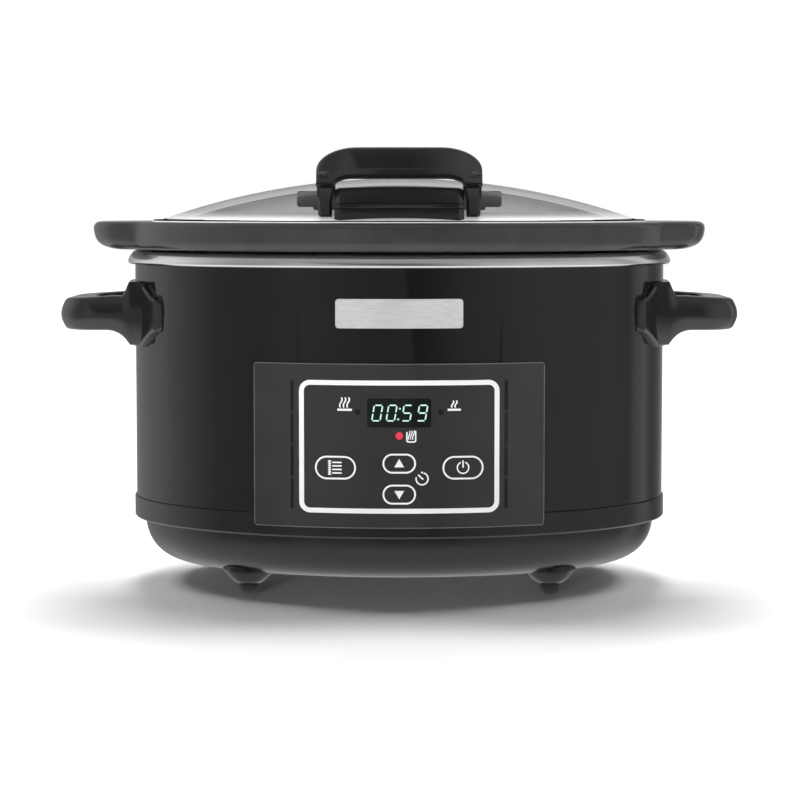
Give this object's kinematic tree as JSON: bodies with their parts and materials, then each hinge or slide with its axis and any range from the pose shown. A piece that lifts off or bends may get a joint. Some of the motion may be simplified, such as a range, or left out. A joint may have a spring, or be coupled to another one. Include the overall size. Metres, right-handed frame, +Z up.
{
  "type": "slow cooker",
  "caption": "Oval countertop slow cooker with a painted steel housing, side handles, a digital control panel, a lift-out stoneware crock and a hinged glass lid.",
  "frame": {"origin": "centre of the footprint, on the surface the rubber feet stand on", "axes": "+Z up, +X to the right along the long axis of the oval, -Y towards the front with the control panel"},
  "size_m": [0.425, 0.2859, 0.2722],
  "materials": {
    "housing_enamel": "gloss",
    "bright_ring": "polished",
    "base_plastic": "gloss",
    "handle_plastic": "gloss",
    "panel_plastic": "gloss",
    "overlay_film": "gloss",
    "window_plastic": "gloss",
    "button_plastic": "gloss",
    "lamp_dark": "gloss",
    "lamp_red": "gloss",
    "stoneware_black": "gloss",
    "lid_glass": "clear",
    "foot_rubber": "matte",
    "badge_metal": "brushed",
    "well_aluminium": "satin",
    "zinc_steel": "satin",
    "heater_wrap": "woven",
    "board_laminate": "satin",
    "part_plastic": "matte",
    "sleeve_white": "matte",
    "seal_silicone": "matte"
  },
  "bodies": {
    "base": {"housing_shell": "housing_enamel", "base_band": "base_plastic", "base_pan": "base_plastic", "foot_pads": "foot_rubber", "base_screws": "zinc_steel", "cord_gland": "part_plastic", "trim_ring": "bright_ring", "heating_well": "well_aluminium", "well_legs": "zinc_steel", "heater_band": "heater_wrap", "heater_straps": "zinc_steel", "thermal_fuse": "sleeve_white", "temperature_sensor": "zinc_steel", "power_board": "board_laminate", "relay": "part_plastic", "transformer": "part_plastic", "terminal_block": "sleeve_white", "board_screws": "zinc_steel", "panel_bezel": "panel_plastic", "panel_overlay": "overlay_film", "display_window": "window_plastic", "display_module": "part_plastic", "lamp_high": "lamp_dark", "lamp_low": "lamp_dark", "lamp_warm": "lamp_red", "control_board": "board_laminate", "control_screws": "zinc_steel", "tact_switches": "part_plastic", "control_cover": "part_plastic", "badge": "badge_metal", "side_handle_left": "handle_plastic", "side_handle_right": "handle_plastic", "side_handle_screws": "zinc_steel", "hinge_bracket": "handle_plastic", "hinge_bracket_screws": "zinc_steel"},
    "crock": {"crock": "stoneware_black"},
    "hinge_leaf": {"hinge_leaf": "handle_plastic", "hinge_pin": "zinc_steel"},
    "lid": {"lid_glass": "lid_glass", "lid_handle_base": "handle_plastic", "lid_handle_grip": "handle_plastic", "lid_hinge_bar": "handle_plastic", "lid_handle_washers": "seal_silicone", "lid_handle_screws": "zinc_steel", "lid_hinge_washers": "seal_silicone", "lid_hinge_screws": "zinc_steel"},
    "button_mode": {"button_mode": "button_plastic"},
    "button_power": {"button_power": "button_plastic"},
    "button_up": {"button_up": "button_plastic"},
    "button_down": {"button_down": "button_plastic"}
  },
  "joints": [
    {"name": "crock_lift", "type": "slide", "parent": "base", "child": "crock", "axis": [0, 0, 1], "range_m": [0, 0.16]},
    {"name": "lid_lift", "type": "slide", "parent": "crock", "child": "hinge_leaf", "axis": [0, 0, 1], "range_m": [0, 0.05]},
    {"name": "lid_hinge", "type": "hinge", "parent": "hinge_leaf", "child": "lid", "pos_m": [0, 0.1371, 0.238], "axis": [-1, 0, 0], "range_deg": [0, 95]},
    {"name": "button_mode_press", "type": "slide", "parent": "base", "child": "button_mode", "axis": [0, 1, 0], "range_m": [0, 0.0005], "stiffness_N_per_m": 600},
    {"name": "button_power_press", "type": "slide", "parent": "base", "child": "button_power", "axis": [0, 1, 0], "range_m": [0, 0.0005], "stiffness_N_per_m": 600},
    {"name": "button_up_press", "type": "slide", "parent": "base", "child": "button_up", "axis": [0, 1, 0], "range_m": [0, 0.0005], "stiffness_N_per_m": 600},
    {"name": "button_down_press", "type": "slide", "parent": "base", "child": "button_down", "axis": [0, 1, 0], "range_m": [0, 0.0005], "stiffness_N_per_m": 600}
  ]
}
